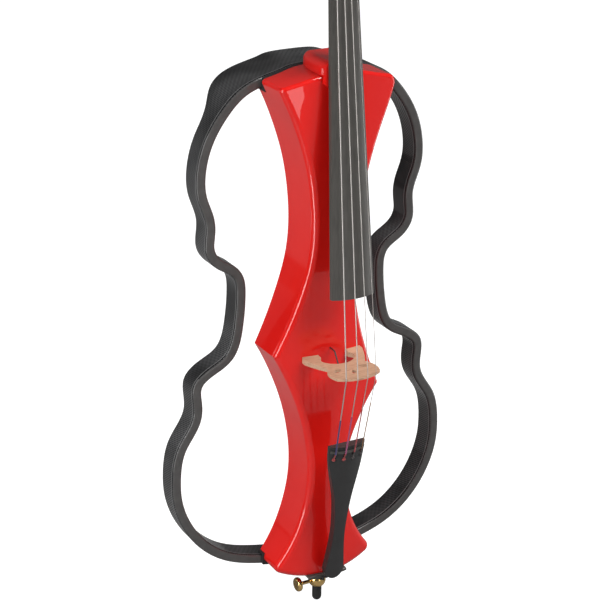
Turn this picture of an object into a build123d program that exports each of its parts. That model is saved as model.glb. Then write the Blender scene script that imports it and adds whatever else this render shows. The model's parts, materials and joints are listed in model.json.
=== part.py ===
from build123d import *
from math import atan, cos, degrees, pi, radians, sin, sqrt
import os

os.makedirs("parts", exist_ok=True)

# Electric cello. Millimetres. +Z runs up along the neck, -Y faces the audience, +X is the treble side.
# The origin is the lowest point of the rubber foot, on the endpin's axis, with the endpin pushed in.

# Driving dimensions
BODY_Z = 49.0            # lower edge of the body above the floor
FRAME_BAND = 14.0        # frame's width seen from the front
FRAME_Y = 25.0           # frame's front face
FRAME_DEPTH = 36.0       # frame's depth along the bouts
FRAME_DEPTH_TOP = 77.0   # frame's depth where it passes the neck
CORE_BACK_Y = 36.0       # flat back of the red core
CORE_ARCH_R = 362.0      # cross arching of the core's front
PAD_TOP_Y = 16.0         # front of the upper rubber pads
PAD_LOW_Y = 21.0         # front of the lower rubber pads
PAD_LIP = 4.0            # rubber between the frame's inner side and the core
PAD_HALF = 79.0          # how far the pads reach to each side
BOARD_LOW = (-88.1, 516.0)  # Y and Z of the fingerboard's edge at its lower end
BOARD_SLOPE = 0.092      # how far the neck leans back per unit of height
BOARD_LEN = 586.0
BOARD_R = 58.0           # camber of the fingerboard
BOARD_EDGE = 6.5
BRIDGE_Z = 408.0         # string line over the bridge
STRING_X = {"c": -1.5, "g": -0.5, "d": 0.5, "a": 1.5}
STRING_R = {"c": 0.85, "g": 0.72, "d": 0.58, "a": 0.45}
SILK_START = {"c": 0.53, "g": 0.49, "d": 0.42, "a": 0.38}  # share of the way from bridge to tailpiece
STEP_AT_BRIDGE = 15.67   # string spacing at the bridge
STEP_AT_NUT = 7.83
STEP_AT_TAIL = 14.0
ROD_R = 5.0
FOOT_R = 167.0           # arc of the core's lower edge
SIDE_ROUND = 9.0         # rounding along the core's front edges
TOP_ROUND = 4.5          # the same along its top and upper treble side
GAP = 0.3
FIT = 0.05

# Half outline of the body: distance from the middle and height above the body's lower edge
OUTLINE = [
    (0.2, 6), (46, 12.5), (94, 23), (139, 40), (177, 70), (204, 110), (218, 156), (219, 188),
    (208, 238), (185, 281), (184, 326), (162, 347), (135, 363), (121, 402), (117, 447), (122, 475),
    (145, 492), (163, 518), (162, 555), (173, 592), (175, 632), (161, 679), (137, 715), (101, 744.5),
    (50, 759.5), (0.2, 765),
]
# Core outline, bass side and treble side: above the tip, then below it
BASS_UPPER = [(96, 775), (84, 747), (69, 714), (56, 680), (44, 640), (36, 594), (33, 548), (37, 500),
              (51, 450), (68, 406), (85, 369)]
BASS_LOWER = [(85, 369), (70, 340), (58, 312), (45, 275), (34, 226), (30, 180), (33, 142), (43, 102),
              (60, 62), (78, 34), (96, 10)]
TREBLE_UPPER = [(95, 775), (83, 720), (70, 687), (56, 646), (43, 592), (34, 540), (32, 495), (36, 448),
                (48, 392), (66, 337), (84, 295)]
TREBLE_LOWER = [(84, 295), (70, 278), (54, 251), (40, 219), (33, 187), (32, 158), (37, 118), (50, 78),
                (66, 49), (80, 30), (96, 10)]


def place(x, y, z):
    return Location((x, y, z))


def save(shape, name):
    export_step(shape, "parts/" + name + ".step")


def spline_xz(points, side=1, tangents=None):
    return Spline(*[(side * x, 0, BODY_Z + z) for x, z in points], tangents=tangents)


def outline_edge(side):
    return spline_xz(OUTLINE, side, tangents=[(side, 0, 0), (-side, 0, 0)])


def inset_edge(side, distance, samples=72):
    """Curve parallel to the body outline, inside it for a positive distance."""
    edge = outline_edge(side)
    points = []
    for k in range(samples + 1):
        here = edge @ (k / samples)
        run = edge % (k / samples)
        moved = here + Vector(-run.Z, 0, run.X) * (side * distance)
        if edge.distance_to(moved) > abs(distance) * 0.985 - 0.01:
            points.append(moved)
    return Spline(*points)


def quarters(edge):
    return [edge.trim(k / 4, (k + 1) / 4) for k in range(4)]


def between(first, second):
    """Face between two open curves that run the same way."""
    caps = [Line(first @ 0, second @ 0), Line(first @ 1, second @ 1)]
    return Face(Wire(quarters(first) + quarters(second) + caps))


def inside_outline(distance):
    return between(inset_edge(1, distance), inset_edge(-1, distance))


def along_y(face, y0, y1):
    return extrude(place(0, y0, 0) * face, amount=y1 - y0, dir=(0, 1, 0))


def block(x0, x1, y0, y1, z0, z1):
    return place((x0 + x1) / 2, (y0 + y1) / 2, (z0 + z1) / 2) * Box(x1 - x0, y1 - y0, z1 - z0)


def bar(start, end, radius):
    start = Vector(start)
    run = Vector(end) - start
    return Solid.make_cylinder(radius, run.length, Plane(origin=start, z_dir=run.normalized()))


def cyl_y(x, z, y0, y1, radius):
    return bar((x, y0, z), (x, y1, z), radius)


def cyl_z(x, y, z0, z1, radius):
    return bar((x, y, z0), (x, y, z1), radius)


def ball(centre, radius):
    return Location(tuple(Vector(centre))) * Sphere(radius)


def chain(points, radius):
    """Round cord along straight runs with a ball at every bend."""
    shape = bar(points[0], points[1], radius)
    for start, end in zip(points[1:-1], points[2:]):
        shape = shape + ball(start, radius) + bar(start, end, radius)
    return shape


# Frame: two carbon halves that meet on the middle line, deeper where they pass the neck
def depth_profile():
    top = BODY_Z + 800
    low_back = FRAME_Y + FRAME_DEPTH
    top_back = FRAME_Y + FRAME_DEPTH_TOP
    start = Vector(0, low_back, BODY_Z + 682)
    end = Vector(0, top_back, BODY_Z + 750)
    edges = [
        Line((0, FRAME_Y, 0), (0, low_back, 0)),
        Line((0, low_back, 0), start),
        Spline(start, end, tangents=[(0, 0, 1), (0, 0, 1)]),
        Line(end, (0, top_back, top)),
        Line((0, top_back, top), (0, FRAME_Y, top)),
        Line((0, FRAME_Y, top), (0, FRAME_Y, 0)),
    ]
    return extrude(place(-300, 0, 0) * Face(Wire(edges)), amount=600, dir=(1, 0, 0))


def band_middle(x, top):
    """Height of the frame's middle line beside the body's middle, at its upper or lower end."""
    near, far = (0.85, 1.0) if top else (0.0, 0.15)
    edge = outline_edge(1)
    for _ in range(40):
        mid = (near + far) / 2
        if ((edge @ mid).X > x) == top:
            near = mid
        else:
            far = mid
    return (edge @ near).Z + (edge % near).X * FRAME_BAND / 2


SCREWS = [(x, band_middle(x, top), top) for top in (True, False) for x in (30, 62)]


def make_frame(side):
    band = between(outline_edge(side), inset_edge(side, FRAME_BAND))
    shape = along_y(band, FRAME_Y, FRAME_Y + FRAME_DEPTH_TOP) & depth_profile()
    long_edges = [e for e in shape.edges() if e.length > FRAME_BAND + 3 and abs((e % 0.5).Y) < 0.9]
    shape = fillet(long_edges, 3.0)
    for x, z, top in SCREWS:
        back = FRAME_Y + (FRAME_DEPTH_TOP if top else FRAME_DEPTH)
        shape -= cyl_y(side * x, z, FRAME_Y - 1, back + 1, 2.2)
        shape -= cyl_y(side * x, z, FRAME_Y + 14, back + 1, 4.0)
    return shape


save(make_frame(-1), "frame_bass")
save(make_frame(1), "frame_treble")

screws = []
for x, z, top in SCREWS:
    for side in (-1, 1):
        shank = cyl_y(side * x, z, FRAME_Y - 21, FRAME_Y + 14, 1.95)
        head = cyl_y(side * x, z, FRAME_Y + 14, FRAME_Y + 18, 3.5)
        socket = cyl_y(side * x, z, FRAME_Y + 16, FRAME_Y + 19, 1.6)
        screws.append(shank + head - socket)
save(Compound(children=screws), "frame_screws")


# Core: outline cut from a block whose front is arched and leans towards the strings
def arch_section(z, y_mid):
    sag = 110 ** 2 / (2 * CORE_ARCH_R)
    left = Vector(-110, y_mid + sag, BODY_Z + z)
    right = Vector(110, y_mid + sag, BODY_Z + z)
    back_right = Vector(110, 90, BODY_Z + z)
    back_left = Vector(-110, 90, BODY_Z + z)
    edges = [
        ThreePointArc(left, Vector(0, y_mid, BODY_Z + z), right),
        Line(right, back_right),
        Line(back_right, back_left),
        Line(back_left, left),
    ]
    return Face(Wire(edges))


def front_rim(shape):
    """Edges of the arched front face."""
    return max((f for f in shape.faces() if f.normal_at().Y < -0.8), key=lambda f: f.area).edges()


def is_upper(edge):
    """Whether a rim edge is along the core's top or its treble side above the tip."""
    middle = edge.center()
    return middle.Z > BODY_Z + 400 and (middle.X > 0 or middle.Z > BODY_Z + 700)


CORE_FRONT = {-5: -27.6, 366: -33.5, 800: -49.5}
arched_block = loft([arch_section(z, y) for z, y in CORE_FRONT.items()])

plan_edges = [
    spline_xz(BASS_UPPER, -1),
    spline_xz(BASS_LOWER, -1),
    spline_xz(TREBLE_UPPER),
    spline_xz(TREBLE_LOWER),
    Line((-96, 0, BODY_Z + 10), (96, 0, BODY_Z + 10)),
    Line((95, 0, BODY_Z + 775), (-96, 0, BODY_Z + 775)),
]
core = along_y(Face(Wire(plan_edges)), -80, CORE_BACK_Y)
core += block(-96, 96, -80, CORE_BACK_Y, 0, BODY_Z + 10)
foot = bar((0, -90, BODY_Z + 6.5 + FOOT_R), (0, 60, BODY_Z + 6.5 + FOOT_R), FOOT_R)
core = core & (foot + block(-120, 120, -90, 60, BODY_Z + 80, BODY_Z + 820))
core = core & along_y(inside_outline(0.0), -90, 60)
upright = [e for e in core.edges() if abs((e % 0.5).Y) > 0.99 and abs(e.center().X) > 70]
core = fillet([e for e in upright if e.center().X > 0 and e.center().Z > BODY_Z + 700], 13.0)
upright = [e for e in core.edges() if abs((e % 0.5).Y) > 0.99 and abs(e.center().X) > 70]
core = fillet([e for e in upright if e.center().Z < BODY_Z + 100], 10.0)
core = core & arched_block
core = fillet([e for e in front_rim(core) if not is_upper(e)], SIDE_ROUND)
core = fillet([e for e in front_rim(core) if is_upper(e)], TOP_ROUND)

# Rebates behind the core's ends, where the frame passes on rubber pads
rebate_core = along_y(inside_outline(FRAME_BAND + PAD_LIP + GAP), 0, 90)
core -= block(-120, 120, PAD_TOP_Y, 90, BODY_Z + 660, BODY_Z + 800) - rebate_core
core -= block(-120, 120, PAD_LOW_Y, 90, BODY_Z - 10, BODY_Z + 120) - rebate_core
for x, z, top in SCREWS:
    for side in (-1, 1):
        core -= cyl_y(side * x, z, FRAME_Y - 21.5, FRAME_Y + 1, 2.0)

# Neck frame: z along the fingerboard, y away from the player's fingers
LEAN = atan(BOARD_SLOPE)
NECK = Plane(origin=(0, *BOARD_LOW), x_dir=(1, 0, 0), z_dir=(0, sin(LEAN), cos(LEAN)))


def board_half(z):
    return 32.2 - (32.2 - 15.6) * z / BOARD_LEN


def board_top(x, z):
    """Surface of the cambered board above its edge; negative towards the strings."""
    return sqrt(BOARD_R ** 2 - board_half(z) ** 2) - sqrt(BOARD_R ** 2 - x ** 2)


def board_section(z, lift=0.0, facet=0.72, half=None):
    half = half or board_half(z)
    chord = -facet * half
    middle = (half + chord) / 2
    rise = sqrt(BOARD_R ** 2 - half ** 2)
    top = [(x, rise - sqrt(BOARD_R ** 2 - x ** 2) - lift, z) for x in (-half, chord, middle, half)]
    edges = [
        Line(top[0], top[1]),
        ThreePointArc(top[1], top[2], top[3]),
        Line(top[3], (half, BOARD_EDGE, z)),
        Line((half, BOARD_EDGE, z), (-half, BOARD_EDGE, z)),
        Line((-half, BOARD_EDGE, z), top[0]),
    ]
    return Face(Wire(edges))


def shaft_section(z, half, depth):
    arc = [(half * cos(k * pi / 8), BOARD_EDGE + depth * sin(k * pi / 8), z) for k in range(9)]
    return Face(Wire([Spline(*arc), Line(arc[-1], arc[0])]))


board = NECK.location * loft([board_section(0), board_section(BOARD_LEN)])
save(board, "fingerboard")

# Heel against the frame, root in front of the core, tenon in the core, shaft to the nut
HEEL_TOP = 833.0
heel_side = [(26, -57, 0), (29.5, -40, 0), (29.5, -24, 0), (27.5, -2, 0), (20.5, 22, 0)]
heel_edges = [Spline(*[(side * x, y, 0) for x, y, z in heel_side]) for side in (-1, 1)]
heel_edges.append(Line((-26, -57, 0), (26, -57, 0)))
heel_edges.append(Line((-20.5, 22, 0), (20.5, 22, 0)))
HEEL_LOW = BODY_Z + 735
heel = extrude(place(0, 0, HEEL_LOW) * Face(Wire(heel_edges)), HEEL_TOP - HEEL_LOW, dir=(0, 0, 1))
heel = fillet([e for e in heel.edges() if abs((e % 0.5).Z) > 0.99 and e.center().Y > 0], 9.0)
heel = fillet([e for e in heel.edges() if e.center().Z > HEEL_TOP - 1 and e.center().Y > -56], 11.0)
heel -= along_y(inside_outline(-GAP), -90, 120)
root_face = Face(Wire(Polyline((-29, 0, 814), (-29, 0, 804), (-21, 0, 797.5), (21, 0, 797.5),
                               (29, 0, 804), (29, 0, 814), close=True)))
root = extrude(place(0, -75, 0) * root_face, 26.7, dir=(0, 1, 0)) - core
tenon = block(-14, 14, -38, 12, BODY_Z + 728, BODY_Z + 770)
BLEND_START = 305.0
BLEND_END = 344.0
blend = []
for k in range(9):
    share = k / 8
    flare = (1 - share) ** 2.6
    z = BLEND_START + (BLEND_END - BLEND_START) * share
    blend.append(shaft_section(z, 15.4 + 6 * flare, 17.5 + 22 * flare))
shaft = NECK.location * loft(blend)
shaft += NECK.location * loft([shaft_section(BLEND_END, 15.4, 17.5),
                               shaft_section(BOARD_LEN + 8, 15, 18)])
fingers_side = NECK.location * (place(0, BOARD_EDGE - 50, 400) * Box(90, 100, 900))
neck = (heel + root - fingers_side) + tenon + shaft
core -= tenon

# Pegbox and scroll, leaning further back than the neck
HEAD_LEAN = LEAN + radians(10)
head_origin = NECK.from_local_coords((0, BOARD_EDGE, BOARD_LEN + 6))
HEAD = Plane(origin=head_origin, x_dir=(1, 0, 0), z_dir=(0, sin(HEAD_LEAN), cos(HEAD_LEAN)))
PEG_SPOTS = {"c": (30, -1), "a": (52, 1), "g": (84, -1), "d": (106, 1)}
PEG_Y = 10.0
PEG_R = 5.2
PEG_WIND_X = {"c": -3.6, "g": -2.6, "d": 2.6, "a": 3.6}
WIND_R = 7.0


def cheek(z):
    return 15.5 - 4.0 * z / 140


def head_box(z, half, y0, y1):
    return place(0, (y0 + y1) / 2, z) * Rectangle(2 * half, y1 - y0)


pegbox = loft([head_box(0, cheek(0), 0, 24), head_box(140, cheek(140), -2, 22)])
pegbox -= loft([head_box(8, 9.0, -9, 19), head_box(130, 5.6, -9, 17)])
scroll = bar((-11, 6, 168), (11, 6, 168), 25) + bar((-15.5, 6, 168), (15.5, 6, 168), 17)
scroll += bar((-20, 6, 168), (20, 6, 168), 9)
scroll += place(0, 14.5, 152) * Box(22, 17, 40)
head = pegbox + scroll
for z, side in PEG_SPOTS.values():
    head -= bar((-30, PEG_Y, z), (30, PEG_Y, z), PEG_R + FIT)
neck = neck + HEAD.location * head
save(neck, "neck")

for name, (z, side) in PEG_SPOTS.items():
    out = cheek(z)
    peg = bar((-side * (out + 1.5), PEG_Y, z), (side * (out + 2), PEG_Y, z), PEG_R)
    peg += bar((side * (out + 2), PEG_Y, z), (side * (out + 26), PEG_Y, z), 3.9)
    peg += bar((side * (out + 1.0), PEG_Y, z), (side * (out + 4), PEG_Y, z), 8.0)
    grip = place(side * (out + 36), PEG_Y, z) * Rot(90, 0, 0) * extrude(Ellipse(15, 13), 4.5, both=True)
    peg += fillet(grip.edges(), 3.0)
    save(HEAD.location * peg, "peg_" + name)
    wind_x = PEG_WIND_X[name]
    wound = bar((wind_x - 2.4, PEG_Y, z), (wind_x + 2.4, PEG_Y, z), WIND_R)
    wound -= bar((-9, PEG_Y, z), (9, PEG_Y, z), PEG_R + 0.02)
    save(HEAD.location * wound, "winding_" + name)

# Tailpiece frame: z up the tailpiece from its upper end, y towards the core
TAIL_LEAN = atan(0.1636)
TAIL = Plane(origin=(0, -88.2, 292.5), x_dir=(1, 0, 0), z_dir=(0, -sin(TAIL_LEAN), cos(TAIL_LEAN)))
TAIL_R = 55.0
TAIL_HOLE_Z = -21.0
TAIL_FRET_Z = -8.0
TAIL_SIDE = [(28.4, 0), (25.5, -34), (14.5, -86), (10.3, -122), (9.2, -154), (11.8, -188), (15, -216)]
BRIDGE_PEAK = -118.9
BRIDGE_R = 57.7


def tail_top(x):
    return TAIL_R - sqrt(TAIL_R ** 2 - x ** 2)


def bridge_top(x):
    return BRIDGE_PEAK + BRIDGE_R - sqrt(BRIDGE_R ** 2 - x ** 2)


def tangent_to_winding(start, peg_z, radius):
    """Point where a string from start touches the front of a peg's winding, in the head frame."""
    away = start - Vector(start.X, PEG_Y, peg_z)
    reach = away.length
    side_step = Vector(0, -away.Z, away.Y)
    if side_step.Y > 0:
        side_step = -side_step
    return (Vector(start.X, PEG_Y, peg_z) + away * (radius ** 2 / reach ** 2)
            + side_step * (radius * sqrt(reach ** 2 - radius ** 2) / reach ** 2))


string_cutters = []
for name, k in STRING_X.items():
    r = STRING_R[name]
    silk_r = r + 0.25
    bridge_point = Vector(k * STEP_AT_BRIDGE, bridge_top(k * STEP_AT_BRIDGE) - r, BRIDGE_Z)
    nut_x = k * STEP_AT_NUT
    nut_local = (nut_x, board_top(nut_x, BOARD_LEN) - 1.0 - r, BOARD_LEN + 3)
    nut_point = NECK.from_local_coords(nut_local)
    start = HEAD.to_local_coords(nut_point)
    touch = tangent_to_winding(start, PEG_SPOTS[name][0], WIND_R + r + 0.15)
    peg_point = HEAD.from_local_coords((PEG_WIND_X[name], touch.Y, touch.Z))
    tail_x = k * STEP_AT_TAIL
    fret_point = TAIL.from_local_coords((tail_x, tail_top(tail_x) - 2.05 - silk_r, TAIL_FRET_Z - 1.7))
    knot_point = TAIL.from_local_coords((tail_x, tail_top(tail_x) + 1.0, TAIL_HOLE_Z))
    silk_start = bridge_point + (fret_point - bridge_point) * SILK_START[name]
    line = chain([silk_start, bridge_point, nut_point, peg_point], r)
    save(line, "string_" + name)
    silk = chain([silk_start, fret_point, knot_point], silk_r) + ball(knot_point, 2.8)
    save(silk, "silk_" + name)
    string_cutters.append(chain([silk_start, bridge_point, nut_point, peg_point], r + 0.05))

nut = NECK.location * extrude(board_section(BOARD_LEN + 0.1, lift=1.6, half=15.4), 5.8)
for cutter in string_cutters:
    nut -= cutter
save(nut, "nut")

# Bridge: cut from a wedge, feet shaped to the core
def bridge_half(side):
    return [
        Line((side * 22, -28, 0), (side * 45, -28, 0)),
        Line((side * 45, -28, 0), (side * 46, -38, 0)),
        Spline((side * 46, -38, 0), (side * 39, -56, 0), (side * 29.5, -74, 0)),
        Spline((side * 29.5, -74, 0), (side * 36, -89, 0), (side * 33, bridge_top(33), 0)),
        Line((side * 22, -28, 0), (side * 21.5, -41, 0)),
        Spline((side * 21.5, -41, 0), (side * 26, -51, 0), (side * 17, -62.5, 0), (0, -67, 0)),
    ]


crown = ThreePointArc((-33, bridge_top(33), 0), (0, BRIDGE_PEAK, 0), (33, bridge_top(33), 0))
bridge_face = Face(Wire(bridge_half(1) + bridge_half(-1) + [crown]))
bridge = extrude(place(0, 0, 400) * bridge_face, 22, dir=(0, 0, 1))
wedge = Face(Wire(Polyline((0, -28, 405), (0, -122, 406.6), (0, -122, 409.4), (0, -72, 410.6),
                           (0, -46, 412), (0, -28, 414.4), close=True)))
bridge = bridge & extrude(place(-60, 0, 0) * wedge, 120, dir=(1, 0, 0))
for side in (-1, 1):
    kidney = place(side * 20.5, -86, 400) * Rot(0, 0, side * -25) * extrude(Ellipse(7.2, 3.8), 20)
    lobe = cyl_z(side * 2.4, -99, 400, 420, 2.8)
    bridge -= kidney + lobe
heart_point = Face(Wire(Polyline((-4.8, -97.6, 0), (4.8, -97.6, 0), (0, -91, 0), close=True)))
bridge -= extrude(place(0, 0, 400) * heart_point, 20, dir=(0, 0, 1))
for cutter in string_cutters:
    bridge -= cutter
bridge -= core
save(bridge, "bridge")

# Tailpiece with its string bar
tail_edges = [Spline(*[(side * x, 0, z) for x, z in TAIL_SIDE]) for side in (-1, 1)]
tail_edges.append(Line((-28.4, 0, 0), (28.4, 0, 0)))
tail_edges.append(ThreePointArc((-15, 0, -216), (0, 0, -233), (15, 0, -216)))
tail_body = extrude(Face(Wire(tail_edges)), 12, dir=(0, 1, 0))
tail_round = bar((0, TAIL_R, -245), (0, TAIL_R, 10), TAIL_R)
tailpiece = tail_body & tail_round
fret_band = place(0, 0, TAIL_FRET_Z) * Box(53, 60, 3.2)
fret_ring = bar((0, TAIL_R, -240), (0, TAIL_R, 10), TAIL_R + 2)
fret_ring -= bar((0, TAIL_R, -241), (0, TAIL_R, 11), TAIL_R - 1.5)
fret = (fret_band & fret_ring) & block(-26.5, 26.5, -10, 20, -20, 0)
tailpiece -= fret
tail_cutters = []
for name, k in STRING_X.items():
    x = k * STEP_AT_TAIL
    tailpiece -= bar((x, -5, TAIL_HOLE_Z), (x, 20, TAIL_HOLE_Z), 3.2)
    tailpiece -= place(x, 3, TAIL_HOLE_Z + 5.5) * Box(2.8, 20, 11)
for side in (-1, 1):
    tailpiece -= bar((side * 8, 6.5, -245), (side * 8, 6.5, -212), 1.4)
save(TAIL.location * tailpiece, "tailpiece")
save(TAIL.location * fret, "tailpiece_fret")

# End saddle, set into the core's lower edge
saddle = block(-31, 31, -33, -18, BODY_Z + 4, BODY_Z + 13)
saddle = fillet(saddle.edges().filter_by(Axis.X).sort_by(Axis.Y)[:2], 2.5)
saddle = saddle & foot
core -= block(-31, 31, -60, -18, BODY_Z, BODY_Z + 13)
save(saddle, "end_saddle")

# Endpin: plug in the core, brass collar, thumb screw, rod and rubber foot
PLUG_TOP = BODY_Z + 47
COLLAR_LOW = 26.0
COLLAR_TOP = 41.0
THUMB_Z = 33.5
core -= cyl_z(0, 0, 0, PLUG_TOP + 0.2, 12.05)
core -= cyl_z(0, 0, PLUG_TOP, 482, ROD_R + GAP)
plug = cyl_z(0, 0, 44, BODY_Z + 6.3, 14.2) + cyl_z(0, 0, BODY_Z + 6.3, PLUG_TOP, 12.0)
plug += place(0, 0, (COLLAR_TOP + 44.1) / 2) * Cone(12.4, 14.2, 44.1 - COLLAR_TOP)
plug -= cyl_z(0, 0, 30, 100, ROD_R + FIT)
save(plug, "endpin_plug")
inside = ROD_R + FIT
collar_face = Face(Wire([
    Line((inside, 0, COLLAR_LOW), (9.5, 0, COLLAR_LOW)),
    ThreePointArc((9.5, 0, COLLAR_LOW), (13.0, 0, 34.0), (11.0, 0, COLLAR_TOP)),
    Line((11.0, 0, COLLAR_TOP), (inside, 0, COLLAR_TOP)),
    Line((inside, 0, COLLAR_TOP), (inside, 0, COLLAR_LOW)),
]))
collar = revolve(collar_face, Axis.Z)
collar -= bar((-3, 0, THUMB_Z), (-15, 0, THUMB_Z), 2.8 + FIT)
save(collar, "endpin_collar")
thumb = bar((-5.2, 0, THUMB_Z), (-30, 0, THUMB_Z), 2.8)
disc = bar((-28, 0, THUMB_Z), (-35.6, 0, THUMB_Z), 10.6)
thumb += fillet(disc.edges(), 3.0)
save(thumb, "thumb_screw")
rod = cyl_z(0, 0, 8, 470, ROD_R)
save(rod, "endpin_rod")
TIP_TOP = 25.7
tip_face = Face(Wire([
    ThreePointArc((0, 0, 0), (5.2, 0, 2.2), (7, 0, 7)),
    Line((7, 0, 7), (7, 0, TIP_TOP)),
    Line((7, 0, TIP_TOP), (0, 0, TIP_TOP)),
    Line((0, 0, TIP_TOP), (0, 0, 0)),
]))
tip = revolve(tip_face, Axis.Z) - cyl_z(0, 0, 8, 30, ROD_R + 0.02)
save(tip, "rubber_tip")

# Tail cord: out of the tailpiece, over the saddle, round the plug
cord = [Torus(16, 1.3).moved(place(0, 0, 48)) & block(-20, 20, 0, 20, 40, 55)]
for side in (-1, 1):
    inner = TAIL.from_local_coords((side * 8, 6.5, -213))
    outer = TAIL.from_local_coords((side * 8, 6.5, -234))
    cord.append(chain([inner, outer, (side * 8.4, -34.6, 58), (side * 8.6, -34.6, 53.6),
                       (side * 16, 0, 48)], 1.3))
tailgut = cord[0] + cord[1] + cord[2]
save(tailgut, "tailgut")

# Pickup on the bridge, its lead through the arch and inside the core to the circuit board
LEAD_X = -3.0
pickup = cyl_z(LEAD_X, -79.5, 402.9, 405.6, 8.0)
save(pickup, "pickup")
lead_path = FilletPolyline((LEAD_X, -71.2, 403.4), (LEAD_X, -58, 403.4), (LEAD_X, -46, 421),
                           (LEAD_X, -14, 421), (LEAD_X, -14, 668), (LEAD_X, 9, 668), radius=4.0)
lead = sweep(Plane(origin=lead_path @ 0, z_dir=lead_path % 0) * Circle(1.0), path=lead_path)
save(lead, "pickup_lead")
core -= cyl_y(LEAD_X, 421, -60, -13, 1.4)
core -= cyl_z(LEAD_X, -14, 420, 669, 1.4)
core -= cyl_y(LEAD_X, 668, -15, 3, 1.4)
core -= ball((LEAD_X, -14, 421), 4.0) + ball((LEAD_X, -14, 668), 4.0)

# Electronics bay in the core's back
BAY_LOW = BODY_Z + 603
BAY_HIGH = BODY_Z + 715
PLATE_Y = CORE_BACK_Y - 2.5
core -= block(-23, 23, 2, PLATE_Y, BAY_LOW, BAY_HIGH)
core -= block(-28, 28, PLATE_Y, 50, BAY_LOW - 6, BAY_HIGH + 6)
cover = block(-27.8, 27.8, PLATE_Y, CORE_BACK_Y, BAY_LOW - 5.8, BAY_HIGH + 5.8)
cover = fillet(cover.edges().filter_by(Axis.Y), 2.0)
DOOR_LOW = BODY_Z + 659
DOOR_HIGH = BODY_Z + 714
cover -= block(-17, 17, 0, 60, DOOR_LOW - 0.2, DOOR_HIGH + 0.2)
door = block(-16.7, 16.7, PLATE_Y, CORE_BACK_Y, DOOR_LOW, DOOR_HIGH)
door -= place(0, CORE_BACK_Y + 3, DOOR_HIGH) * Sphere(6)
save(door, "battery_door")
cover_screws = []
for x in (-25.3, 25.3):
    for z in (BAY_LOW - 3, BAY_HIGH + 3):
        shank = cyl_y(x, z, PLATE_Y - 8, CORE_BACK_Y - 1.2, 1.2)
        head_disc = cyl_y(x, z, CORE_BACK_Y - 1.2, CORE_BACK_Y, 2.1)
        cover_screws.append(shank + head_disc - cyl_y(x, z, CORE_BACK_Y - 0.7, 50, 0.9))
        cover -= cyl_y(x, z, 0, 60, 1.25) + cyl_y(x, z, CORE_BACK_Y - 1.2, 60, 2.2)
        core -= cyl_y(x, z, PLATE_Y - 8.2, PLATE_Y + 1, 1.25)
save(Compound(children=cover_screws), "cover_screws")
battery = block(-13.2, 13.2, 14, 31.5, DOOR_LOW + 3, DOOR_LOW + 49)
for x in (-6.3, 6.3):
    battery += cyl_z(x, 22.7, DOOR_LOW + 0.6, DOOR_LOW + 3, 3.2)
save(battery, "battery")

KNOB_Z = BODY_Z + 641
JACK_Z = BODY_Z + 615
for name, x in (("volume", -12), ("tone", 12)):
    pot = cyl_y(x, KNOB_Z, 20, PLATE_Y - 0.2, 8) + cyl_y(x, KNOB_Z, 30, 38.5, 3.4)
    pot += cyl_y(x, KNOB_Z, 30, 46, 3.0)
    save(pot, name + "_pot")
    cover -= cyl_y(x, KNOB_Z, 30, 40, 3.5)
    knob = fillet(cyl_y(x, KNOB_Z, CORE_BACK_Y + 0.4, 49, 8.0).edges().sort_by(Axis.Y)[-1:], 1.5)
    knob -= cyl_y(x, KNOB_Z, 30, 47, 3.0 + FIT)
    knob -= cyl_y(x, KNOB_Z, 30, 38.8, 4.2)
    knob -= block(x - 0.6, x + 0.6, 48.2, 50, KNOB_Z + 1, KNOB_Z + 9)
    save(knob, name + "_knob")
for name, x, bore in (("output_jack", -12, 3.2), ("headphone_jack", 12, 1.8)):
    jack = block(x - 8, x + 8, 12, PLATE_Y - 0.2, JACK_Z - 9, JACK_Z + 9)
    jack += cyl_y(x, JACK_Z, 30, CORE_BACK_Y, 4.5) + cyl_y(x, JACK_Z, CORE_BACK_Y, 38, 7.0)
    jack -= cyl_y(x, JACK_Z, 14, 50, bore)
    save(jack, name)
    cover -= cyl_y(x, JACK_Z, 30, 40, 4.6)
save(cover, "rear_cover")
circuit = block(-20, 20, 4, 5.6, BAY_LOW + 3, BAY_LOW + 48)
circuit += block(-14, 6, 5.6, 7.6, BAY_LOW + 24, BAY_LOW + 34)
circuit += block(10, 17, 5.6, 8.5, BAY_LOW + 30, BAY_LOW + 42)
circuit += cyl_y(-15, BAY_LOW + 10, 5.6, 11, 3)
circuit -= cyl_y(LEAD_X, 668, 0, 20, 1.1)
for x in (-17, 17):
    circuit += cyl_y(x, BAY_LOW + 45, 2, 4, 2.5)
save(circuit, "circuit_board")

# Rubber pads between the frame and the core
for side, name in ((-1, "bass"), (1, "treble")):
    wide = along_y(between(inset_edge(side, 0.5), inset_edge(side, FRAME_BAND + PAD_LIP)), 0, 60)
    lip_outer = inset_edge(side, FRAME_BAND + GAP)
    lip = along_y(between(lip_outer, inset_edge(side, FRAME_BAND + PAD_LIP)), 0, 60)
    for where, front_y, z0, z1 in (("upper", PAD_TOP_Y, 700, 790), ("lower", PAD_LOW_Y, -10, 70)):
        x0, x1 = sorted((side * 0.5, side * PAD_HALF))
        pad = wide & block(x0, x1, front_y, FRAME_Y, BODY_Z + z0, BODY_Z + z1)
        pad += lip & block(x0, x1, FRAME_Y, CORE_BACK_Y, BODY_Z + z0, BODY_Z + z1)
        for x, z, top in SCREWS:
            pad -= cyl_y(side * x, z, 0, 60, 2.2)
        save(pad, "gasket_" + where + "_" + name)

save(core, "core")
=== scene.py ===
import bpy
import json
from math import cos, pi, radians, sin
from mathutils import Matrix, Vector


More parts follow.
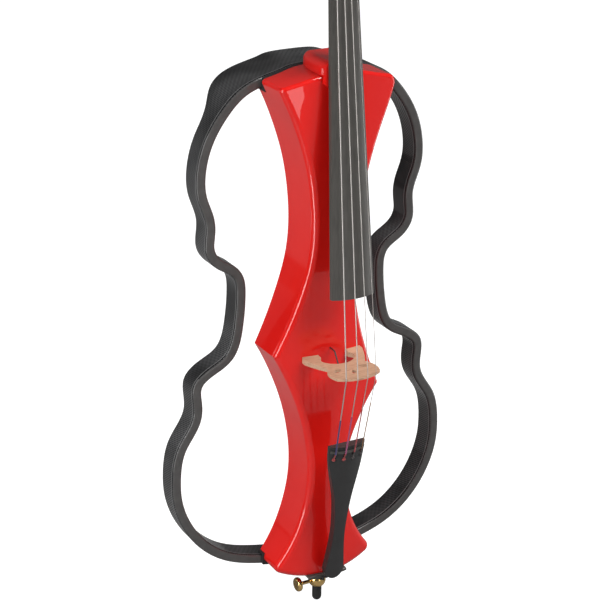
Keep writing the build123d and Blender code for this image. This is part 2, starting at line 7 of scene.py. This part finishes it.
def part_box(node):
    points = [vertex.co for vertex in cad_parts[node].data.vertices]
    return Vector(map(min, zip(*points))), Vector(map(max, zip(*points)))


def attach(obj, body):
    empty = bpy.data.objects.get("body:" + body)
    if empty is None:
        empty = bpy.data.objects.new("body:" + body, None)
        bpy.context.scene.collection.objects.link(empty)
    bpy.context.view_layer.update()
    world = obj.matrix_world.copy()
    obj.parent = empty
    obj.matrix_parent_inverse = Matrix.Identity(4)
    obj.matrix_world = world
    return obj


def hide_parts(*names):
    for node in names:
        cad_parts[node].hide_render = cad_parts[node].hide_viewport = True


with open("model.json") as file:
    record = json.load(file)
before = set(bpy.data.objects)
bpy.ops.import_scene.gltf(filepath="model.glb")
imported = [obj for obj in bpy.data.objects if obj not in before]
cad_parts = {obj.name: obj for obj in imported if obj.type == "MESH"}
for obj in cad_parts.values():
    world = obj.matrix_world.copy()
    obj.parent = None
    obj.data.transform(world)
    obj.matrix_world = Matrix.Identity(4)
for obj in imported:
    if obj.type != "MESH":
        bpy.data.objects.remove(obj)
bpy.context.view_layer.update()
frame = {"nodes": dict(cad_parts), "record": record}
nodes = frame["nodes"]

# Sizes in metres
TWILL = 0.0036          # one repeat of the carbon weave
RIM_FACE = 0.0008       # depth of the plain resin on the frame's front edge
RIM_GROOVE = 0.0026     # depth of the groove behind that edge, painted near black as shade
RIM_HIGHLIGHT = 0.0042       # depth of the painted highlight line behind the groove
GROOVE_HALF = 0.0008
HIGHLIGHT_HALF = 0.0006
THREAD_PITCH = 0.0008
WIRE = {"c": 0.00078, "g": 0.00066, "d": 0.00054, "a": 0.00043}     # radius of each string
COIL_PITCH = 2.1        # distance between turns, in wire radii
COIL_STEPS = 12         # points in one turn
FLOOR_HALF = 14

# Colours
RED_DEEP = (0.65, 0.006, 0.004)
RED_BRIGHT = (0.70, 0.009, 0.005)
CLOTH_DARK = (0.003, 0.003, 0.0035)
CLOTH_PALE = (0.085, 0.085, 0.087)
# painted highlight line on the frame's front rim
PAINTED_HIGHLIGHT_GREY = (0.20, 0.20, 0.20)
RESIN_DARK = (0.045, 0.043, 0.042)
RESIN_PALE = (0.075, 0.072, 0.07)
# painted shade in the frame's rim groove
GROOVE_SHADE_BLACK = (0.002, 0.002, 0.002)
EBONY_DARK = (0.7, 0.66, 0.60)
EBONY_PALE = (1.5, 1.40, 1.26)
PLASTIC_DARK = (0.8, 0.8, 0.82)
PLASTIC_PALE = (1.3, 1.3, 1.3)
RUBBER_DARK = (0.012, 0.012, 0.012)
RUBBER_PALE = (0.03, 0.03, 0.031)
MAPLE_DARK = (0.42, 0.24, 0.145)
MAPLE_PALE = (0.58, 0.37, 0.245)
MAPLE_FLECK = (0.26, 0.125, 0.07)
WORN_METAL = 0.82
COPPER_TRACK = (0.30, 0.22, 0.06)
BOARD_GREEN = (0.01, 0.11, 0.04)
RED_KNOT = (0.32, 0.02, 0.02)
DARK_KNOT = (0.03, 0.02, 0.02)
PAPER_DARK = (0.26, 0.26, 0.26)
PAPER_PALE = (0.29, 0.29, 0.29)
BLACK = (0.0, 0.0, 0.0)
WHITE = (1.0, 1.0, 1.0)

# Brightness of the surroundings as a light and as seen by the camera
FLOOR_GLOW = (0.0, 1.0)
SKY_GLOW = (0.11, 1.0)

# Camera
AZIMUTH = radians(28.6)
HEIGHT = radians(22.1)
ROLL = radians(0.55)
DISTANCE = 2.516
TARGET = Vector((-0.0194, 0.025, 0.4742))
FOCAL_LENGTH = 108.2
SENSOR = 36.0
NEAREST = 0.05
FURTHEST = 60.0


# Node helpers
def rgb(colour, share=1.0):
    """The colour times share, as the four values that a colour socket takes."""
    return (*(share * value for value in colour), 1.0)


class Shader:
    """Builds one material's node tree."""

    def __init__(self, name):
        self.material = bpy.data.materials.new(name)
        self.material.use_nodes = True
        self.tree = self.material.node_tree
        self.tree.nodes.clear()
        self.output = self.add("ShaderNodeOutputMaterial")
        self.main = self.add("ShaderNodeBsdfPrincipled")
        self.link(self.main.outputs[0], self.output.inputs[0])
        self.place = None

    def add(self, kind, **settings):
        node = self.tree.nodes.new(kind)
        for key, value in settings.items():
            setattr(node, key, value)
        return node

    def link(self, source, target):
        self.tree.links.new(source, target)

    def put(self, value, socket):
        """Links another node's output to the socket, or sets a plain value on it."""
        if isinstance(value, bpy.types.NodeSocket):
            self.link(value, socket)
        else:
            socket.default_value = value

    def set(self, **values):
        for key, value in values.items():
            self.put(value, self.main.inputs[key.replace("_", " ")])

    def position(self):
        if self.place is None:
            self.place = self.add("ShaderNodeTexCoord").outputs["Object"]
        return self.place

    def axis(self, name, source=None):
        split = self.add("ShaderNodeSeparateXYZ")
        self.put(source or self.position(), split.inputs[0])
        return split.outputs[name]

    def stretch(self, scale):
        node = self.add("ShaderNodeMapping")
        self.put(self.position(), node.inputs["Vector"])
        node.inputs["Scale"].default_value = scale
        return node.outputs[0]

    def noise(self, scale, detail=2.0, vector=None):
        node = self.add("ShaderNodeTexNoise")
        self.put(vector or self.position(), node.inputs["Vector"])
        node.inputs["Scale"].default_value = scale
        node.inputs["Detail"].default_value = detail
        return node.outputs["Fac"]

    def math(self, operation, a, b=0.0, c=0.0):
        node = self.add("ShaderNodeMath", operation=operation)
        self.put(a, node.inputs[0])
        self.put(b, node.inputs[1])
        self.put(c, node.inputs[2])
        return node.outputs[0]

    def span(self, value, low, high, from_low=0.0, from_high=1.0):
        """Maps value from one range to low..high."""
        node = self.add("ShaderNodeMapRange")
        self.put(value, node.inputs["Value"])
        node.inputs["From Min"].default_value = from_low
        node.inputs["From Max"].default_value = from_high
        node.inputs["To Min"].default_value = low
        node.inputs["To Max"].default_value = high
        return node.outputs["Result"]

    def mix(self, factor, first, second):
        node = self.add("ShaderNodeMix", data_type="RGBA")
        self.put(factor, node.inputs["Factor"])
        self.put(first, node.inputs[6])
        self.put(second, node.inputs[7])
        return node.outputs[2]

    def bump(self, height, distance, strength=1.0):
        node = self.add("ShaderNodeBump")
        self.put(height, node.inputs["Height"])
        node.inputs["Distance"].default_value = distance
        node.inputs["Strength"].default_value = strength
        return node.outputs[0]


# Materials
def lacquer():
    """Red paint under a thick clear coat."""
    s = Shader("red_lacquer")
    cloud = s.span(s.noise(9.0, detail=3.0), 0.0, 1.0, from_low=0.35, from_high=0.65)
    s.set(Base_Color=s.mix(cloud, rgb(RED_DEEP), rgb(RED_BRIGHT)),
          Roughness=s.span(s.noise(30.0), 0.38, 0.48), Coat_Weight=1.0, Coat_Roughness=0.02,
          Coat_IOR=1.5, Specular_IOR_Level=0.1)
    ripple = s.bump(s.noise(60.0, detail=1.0), 0.0004, 0.05)
    s.link(ripple, s.main.inputs["Coat Normal"])
    return s.material


def carbon():
    """Twill cloth under clear resin, with a groove darkened by painted shade and a painted
    highlight line round the front rim.
    """
    s = Shader("carbon")
    x, y, z = s.axis("X"), s.axis("Y"), s.axis("Z")
    normal = s.add("ShaderNodeNewGeometry").outputs["Normal"]
    side_x = s.math("ABSOLUTE", s.axis("X", normal))
    side_z = s.math("ABSOLUTE", s.axis("Z", normal))
    upright = s.math("GREATER_THAN", side_x, side_z)
    along = s.math("ADD", s.math("MULTIPLY", z, upright),
                   s.math("MULTIPLY", x, s.math("SUBTRACT", 1.0, upright)))
    across = s.math("MULTIPLY", y, 0.75)
    step = 2 * pi / TWILL
    rib = s.math("SINE", s.math("MULTIPLY", s.math("ADD", along, across), step))
    tow = s.math("SINE", s.math("MULTIPLY", s.math("SUBTRACT", along, across), step * 0.5))
    weave = s.math("MULTIPLY_ADD", rib, 0.40, s.math("MULTIPLY_ADD", tow, 0.10, 0.5))
    patch = s.span(s.noise(16.0), 0.25, 1.0, from_low=0.35, from_high=0.65)
    behind = s.math("SUBTRACT", y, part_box("frame_bass")[0][1])
    # Painted shade: the groove line is coloured near black for the shade in it, besides a slight
    # bump
    groove_shade = s.math("COMPARE", behind, RIM_GROOVE, GROOVE_HALF)
    face = s.math("LESS_THAN", behind, RIM_FACE)
    # Painted highlight: a thin grey line along the rim, where the rounded edge would catch the
    # light
    painted_highlight = s.math("COMPARE", behind, RIM_HIGHLIGHT, HIGHLIGHT_HALF)
    cloth = s.mix(s.math("MULTIPLY", weave, patch), rgb(CLOTH_DARK), rgb(CLOTH_PALE))
    cloth = s.mix(s.math("MULTIPLY", painted_highlight, 0.8), cloth, rgb(PAINTED_HIGHLIGHT_GREY))
    rim = s.mix(face, cloth, s.mix(s.noise(90.0), rgb(RESIN_DARK), rgb(RESIN_PALE)))
    s.set(Base_Color=s.mix(groove_shade, rim, rgb(GROOVE_SHADE_BLACK)),
          Roughness=s.span(weave, 0.55, 0.4), Coat_Weight=0.75, Coat_Roughness=0.05, Coat_IOR=1.45,
          Specular_IOR_Level=0.15)
    height = s.math("SUBTRACT", s.math("MULTIPLY", weave, 0.15), groove_shade)
    s.link(s.bump(height, 0.0004, 0.5), s.main.inputs["Normal"])
    return s.material


def ebony(name, tone, rough):
    """Dark wood, with the grain and open pores along Z."""
    s = Shader(name)
    grain = s.noise(420.0, detail=3.0, vector=s.stretch((1.0, 1.0, 0.03)))
    pores = s.span(s.noise(900.0, vector=s.stretch((1.0, 1.0, 0.05))), 0.0, 1.0,
                   from_low=0.45, from_high=0.75)
    s.set(Base_Color=s.mix(grain, rgb(EBONY_DARK, tone), rgb(EBONY_PALE, tone)),
          Roughness=s.span(grain, rough, rough + 0.1), Specular_IOR_Level=0.5)
    s.link(s.bump(pores, 0.00008, 0.4), s.main.inputs["Normal"])
    return s.material


def moulded(name, tone, rough):
    """Plain dark plastic with a fine surface."""
    s = Shader(name)
    fine = s.noise(1500.0)
    patch = s.noise(40.0)
    s.set(Base_Color=s.mix(patch, rgb(PLASTIC_DARK, tone), rgb(PLASTIC_PALE, tone)),
          Roughness=s.span(patch, rough - 0.05, rough + 0.07), Specular_IOR_Level=0.5)
    s.link(s.bump(fine, 0.00006, 0.35), s.main.inputs["Normal"])
    return s.material


def rubber():
    s = Shader("black_rubber")
    patch = s.noise(60.0, detail=3.0)
    s.set(Base_Color=s.mix(patch, rgb(RUBBER_DARK), rgb(RUBBER_PALE)),
          Roughness=s.span(patch, 0.55, 0.72), Specular_IOR_Level=0.35)
    s.link(s.bump(s.noise(2200.0), 0.0001, 0.4), s.main.inputs["Normal"])
    return s.material


def maple():
    """Pale wood, with the grain and short dark flecks along X."""
    s = Shader("maple")
    rings = s.noise(260.0, detail=3.0, vector=s.stretch((0.06, 1.0, 1.0)))
    fleck = s.span(s.noise(700.0, detail=1.0, vector=s.stretch((0.12, 1.0, 0.5))), 0.0, 1.0,
                   from_low=0.58, from_high=0.7)
    wood = s.mix(rings, rgb(MAPLE_DARK), rgb(MAPLE_PALE))
    s.set(Base_Color=s.mix(s.math("MULTIPLY", fleck, 0.6), wood, rgb(MAPLE_FLECK)),
          Roughness=s.span(rings, 0.45, 0.6), Specular_IOR_Level=0.4)
    s.link(s.bump(rings, 0.0001, 0.3), s.main.inputs["Normal"])
    return s.material


def metal(name, colour, rough, grain=(1.0, 1.0, 1.0)):
    s = Shader(name)
    wear = s.noise(220.0, detail=3.0, vector=s.stretch(grain))
    s.set(Base_Color=s.mix(wear, rgb(colour, WORN_METAL), rgb(colour)), Metallic=1.0,
          Roughness=s.span(wear, rough, rough + 0.08))
    s.link(s.bump(wear, 0.00004, 0.3), s.main.inputs["Normal"])
    return s.material


def thread(name, colour, knot):
    """Turns of thread up the string, with painted shade between the turns, in the knot's colour
    inside the tailpiece.
    """
    s = Shader(name)
    turns = s.math("SINE", s.math("MULTIPLY", s.axis("Z"), 2 * pi / THREAD_PITCH))
    groove_shade = s.math("MULTIPLY_ADD", turns, 0.5, 0.5)
    in_tailpiece = s.math("LESS_THAN", s.axis("Z"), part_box("tailpiece_fret")[0][2])
    yarn = s.mix(in_tailpiece, rgb(colour), rgb(knot))
    # Painted shade: the yarn is darkened towards black in the gaps between turns
    s.set(Base_Color=s.mix(s.span(groove_shade, 0.55, 0.0), yarn, rgb(BLACK)),
          Roughness=s.span(groove_shade, 0.8, 0.55), Sheen_Weight=0.3)
    s.link(s.bump(groove_shade, 0.0001, 0.6), s.main.inputs["Normal"])
    return s.material


def circuit():
    """Green board with copper tracks between cells."""
    s = Shader("circuit")
    cells = s.add("ShaderNodeTexVoronoi", feature="DISTANCE_TO_EDGE")
    s.put(s.position(), cells.inputs["Vector"])
    cells.inputs["Scale"].default_value = 380.0
    track = s.math("GREATER_THAN", cells.outputs["Distance"], 0.12)
    s.set(Base_Color=s.mix(track, rgb(COPPER_TRACK), rgb(BOARD_GREEN)),
          Roughness=s.span(s.noise(90.0), 0.3, 0.45))
    return s.material


materials = {
    "red_lacquer": lacquer(),
    "black_board": ebony("black_board", tone=0.052, rough=0.40),
    "black_parts": moulded("black_parts", tone=0.020, rough=0.34),
    "carbon": carbon(),
    "black_rubber": rubber(),
    "maple": maple(),
    "brass": metal("brass", (0.90, 0.62, 0.24), rough=0.10),
    "steel": metal("steel", (0.62, 0.62, 0.62), rough=0.16, grain=(1.0, 1.0, 0.05)),
    "string_metal": metal("string_metal", (0.62, 0.59, 0.56), rough=0.34, grain=(0.3, 0.3, 6.0)),
    "silk_c": thread("silk_c", (0.035, 0.025, 0.14), RED_KNOT),
    "silk_g": thread("silk_g", (0.38, 0.045, 0.17), RED_KNOT),
    "silk_d": thread("silk_d", (0.42, 0.03, 0.04), DARK_KNOT),
    "silk_a": thread("silk_a", (0.40, 0.19, 0.07), DARK_KNOT),
    "black_cord": moulded("black_cord", tone=0.015, rough=0.45),
    "circuit": circuit(),
    "battery_case": moulded("battery_case", tone=0.05, rough=0.3),
    "nickel": metal("nickel", (0.66, 0.63, 0.58), rough=0.2),
}
for part in frame["record"]["subparts"]:
    shown = nodes[part["node"]]
    shown.data.materials.clear()
    shown.data.materials.append(materials[part["material_slot"]])


# String coils on the pegs
def string_coil(name, wire):
    low, high = (Vector(corner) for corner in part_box("winding_" + name))
    centre = (low + high) / 2
    radius = (high.z - low.z) / 2 - wire
    length = high.x - low.x - 2 * wire
    turns = length / (COIL_PITCH * wire)
    count = int(turns * COIL_STEPS)
    curve = bpy.data.curves.new("coil_" + name, "CURVE")
    curve.dimensions = "3D"
    curve.bevel_depth = wire
    curve.bevel_resolution = 3
    spline = curve.splines.new("POLY")
    spline.points.add(count)
    for k in range(count + 1):
        share = k / count
        angle = 2 * pi * turns * share
        x = low.x + wire + length * share
        y = centre.y + radius * cos(angle)
        z = centre.z + radius * sin(angle)
        spline.points[k].co = (x, y, z, 1.0)
    coil = bpy.data.objects.new("coil_" + name, curve)
    bpy.context.scene.collection.objects.link(coil)
    curve.materials.append(materials["string_metal"])
    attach(coil, "peg_" + name)
    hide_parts("winding_" + name)


for name, wire in WIRE.items():
    string_coil(name, wire)


# Floor and surroundings
def brighter_in_view(tree, glow):
    """A strength that differs between what the camera sees directly and what lights the object."""
    as_light, in_view = glow
    path = tree.nodes.new("ShaderNodeLightPath")
    pick = tree.nodes.new("ShaderNodeMapRange")
    tree.links.new(path.outputs["Is Camera Ray"], pick.inputs["Value"])
    pick.inputs["To Min"].default_value = as_light
    pick.inputs["To Max"].default_value = in_view
    return pick.outputs["Result"]


floor_mesh = bpy.data.meshes.new("floor")
corners = [(x * FLOOR_HALF, y * FLOOR_HALF, 0) for x, y in ((-1, -1), (1, -1), (1, 1), (-1, 1))]
floor_mesh.from_pydata(corners, [], [(0, 1, 2, 3)])
floor = bpy.data.objects.new("floor", floor_mesh)
bpy.context.scene.collection.objects.link(floor)
paper = Shader("floor_paper")
paper.set(Base_Color=paper.mix(paper.noise(3.0), rgb(PAPER_DARK), rgb(PAPER_PALE)), Roughness=0.9,
          Specular_IOR_Level=0.1, Emission_Color=rgb(WHITE),
          Emission_Strength=brighter_in_view(paper.tree, FLOOR_GLOW))
floor_mesh.materials.append(paper.material)

world = bpy.data.worlds.new("studio")
world.use_nodes = True
backdrop = world.node_tree.nodes["Background"]
backdrop.inputs["Color"].default_value = rgb(WHITE)
world.node_tree.links.new(brighter_in_view(world.node_tree, SKY_GLOW), backdrop.inputs["Strength"])
bpy.context.scene.world = world


# Lights
def area_light(name, place, target, size, power, mirrored=True):
    lamp = bpy.data.lights.new(name, "AREA")
    lamp.shape = "RECTANGLE"
    lamp.size, lamp.size_y = size
    lamp.energy = power
    holder = bpy.data.objects.new(name, lamp)
    holder.location = place
    holder.visible_camera = False
    holder.visible_glossy = mirrored
    holder.rotation_euler = (Vector(target) - Vector(place)).to_track_quat("-Z", "Y").to_euler()
    bpy.context.scene.collection.objects.link(holder)


middle = (0.0, 0.0, 0.5)
area_light("overhead", (1.0, -1.6, 2.8), middle, size=(1.6, 1.6), power=106)
area_light("left", (-2.3, -1.0, 1.7), middle, size=(1.2, 1.4), power=10)
area_light("strip_left", (-0.95, -0.30, 0.55), (0.0, 0.0, 0.55), size=(0.26, 1.1), power=8.0)
area_light("strip_back_left", (-0.95, 0.75, 0.40), (0.0, 0.0, 0.40), size=(0.14, 0.7), power=0.8)
area_light("strip_right", (1.15, -0.30, 0.45), (0.0, 0.0, 0.5), size=(0.18, 0.9), power=2.6)
area_light("back", (-1.0, 3.0, 1.7), middle, size=(3.4, 2.4), power=46, mirrored=False)
area_light("low_front", (0.10, -1.45, 0.30), (0.0, 0.0, 0.8), size=(0.30, 0.5), power=1.3)

# Camera, looking down at the object from its left
ahead = Vector((sin(AZIMUTH) * cos(HEIGHT), cos(AZIMUTH) * cos(HEIGHT), -sin(HEIGHT)))
right = Vector((cos(AZIMUTH), -sin(AZIMUTH), 0.0))
up = right.cross(ahead)
right, up = right * cos(ROLL) + up * sin(ROLL), up * cos(ROLL) - right * sin(ROLL)
lens = bpy.data.cameras.new("camera")
lens.lens = FOCAL_LENGTH
lens.sensor_width = SENSOR
lens.clip_start = NEAREST
lens.clip_end = FURTHEST
camera = bpy.data.objects.new("camera", lens)
turn = Matrix((right, up, -ahead)).transposed().to_4x4()
camera.matrix_world = Matrix.Translation(TARGET - ahead * DISTANCE) @ turn
bpy.context.scene.collection.objects.link(camera)
bpy.context.scene.camera = camera
bpy.context.scene.view_settings.view_transform = "Standard"
